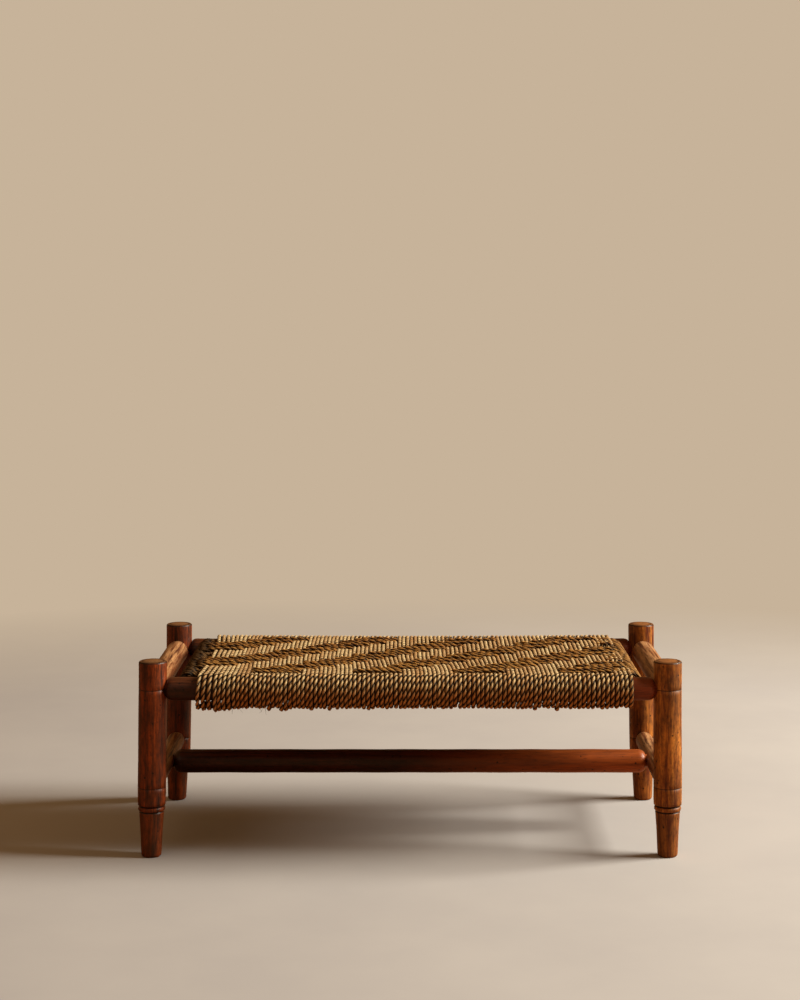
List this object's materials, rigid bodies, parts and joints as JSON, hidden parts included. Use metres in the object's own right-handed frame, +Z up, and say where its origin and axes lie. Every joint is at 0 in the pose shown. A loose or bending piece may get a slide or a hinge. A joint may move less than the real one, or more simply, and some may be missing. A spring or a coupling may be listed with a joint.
{
  "type": "rope bench",
  "caption": "Low bench with turned wooden legs, round rails, an H stretcher and a rope seat woven in a diagonal twill.",
  "frame": {"origin": "on the floor under the middle of the bench, at the bottom centre of its box", "axes": "+X along the bench to the right as seen from the front, +Y to the back, +Z up"},
  "size_m": [0.809, 0.3934, 0.292],
  "materials": {
    "stained_wood": "red-brown stain and old wax, satin, worn paler on the tops, with small dark pores",
    "plain_wood": "unstained, dull",
    "rope": "two-ply twisted grass rope, straw to golden brown, matt"
  },
  "bodies": {
    "root": {"leg_front_left": "stained_wood", "leg_front_right": "stained_wood", "leg_back_left": "stained_wood", "leg_back_right": "stained_wood", "seat_rail_front": "stained_wood", "seat_rail_back": "stained_wood", "side_rail_left": "stained_wood", "side_rail_right": "stained_wood", "rope_rail_left": "plain_wood", "rope_rail_right": "plain_wood", "side_stretcher_left": "stained_wood", "side_stretcher_right": "stained_wood", "long_stretcher": "stained_wood", "warp_rope": "rope", "weft_rope": "rope"}
  },
  "joints": []
}
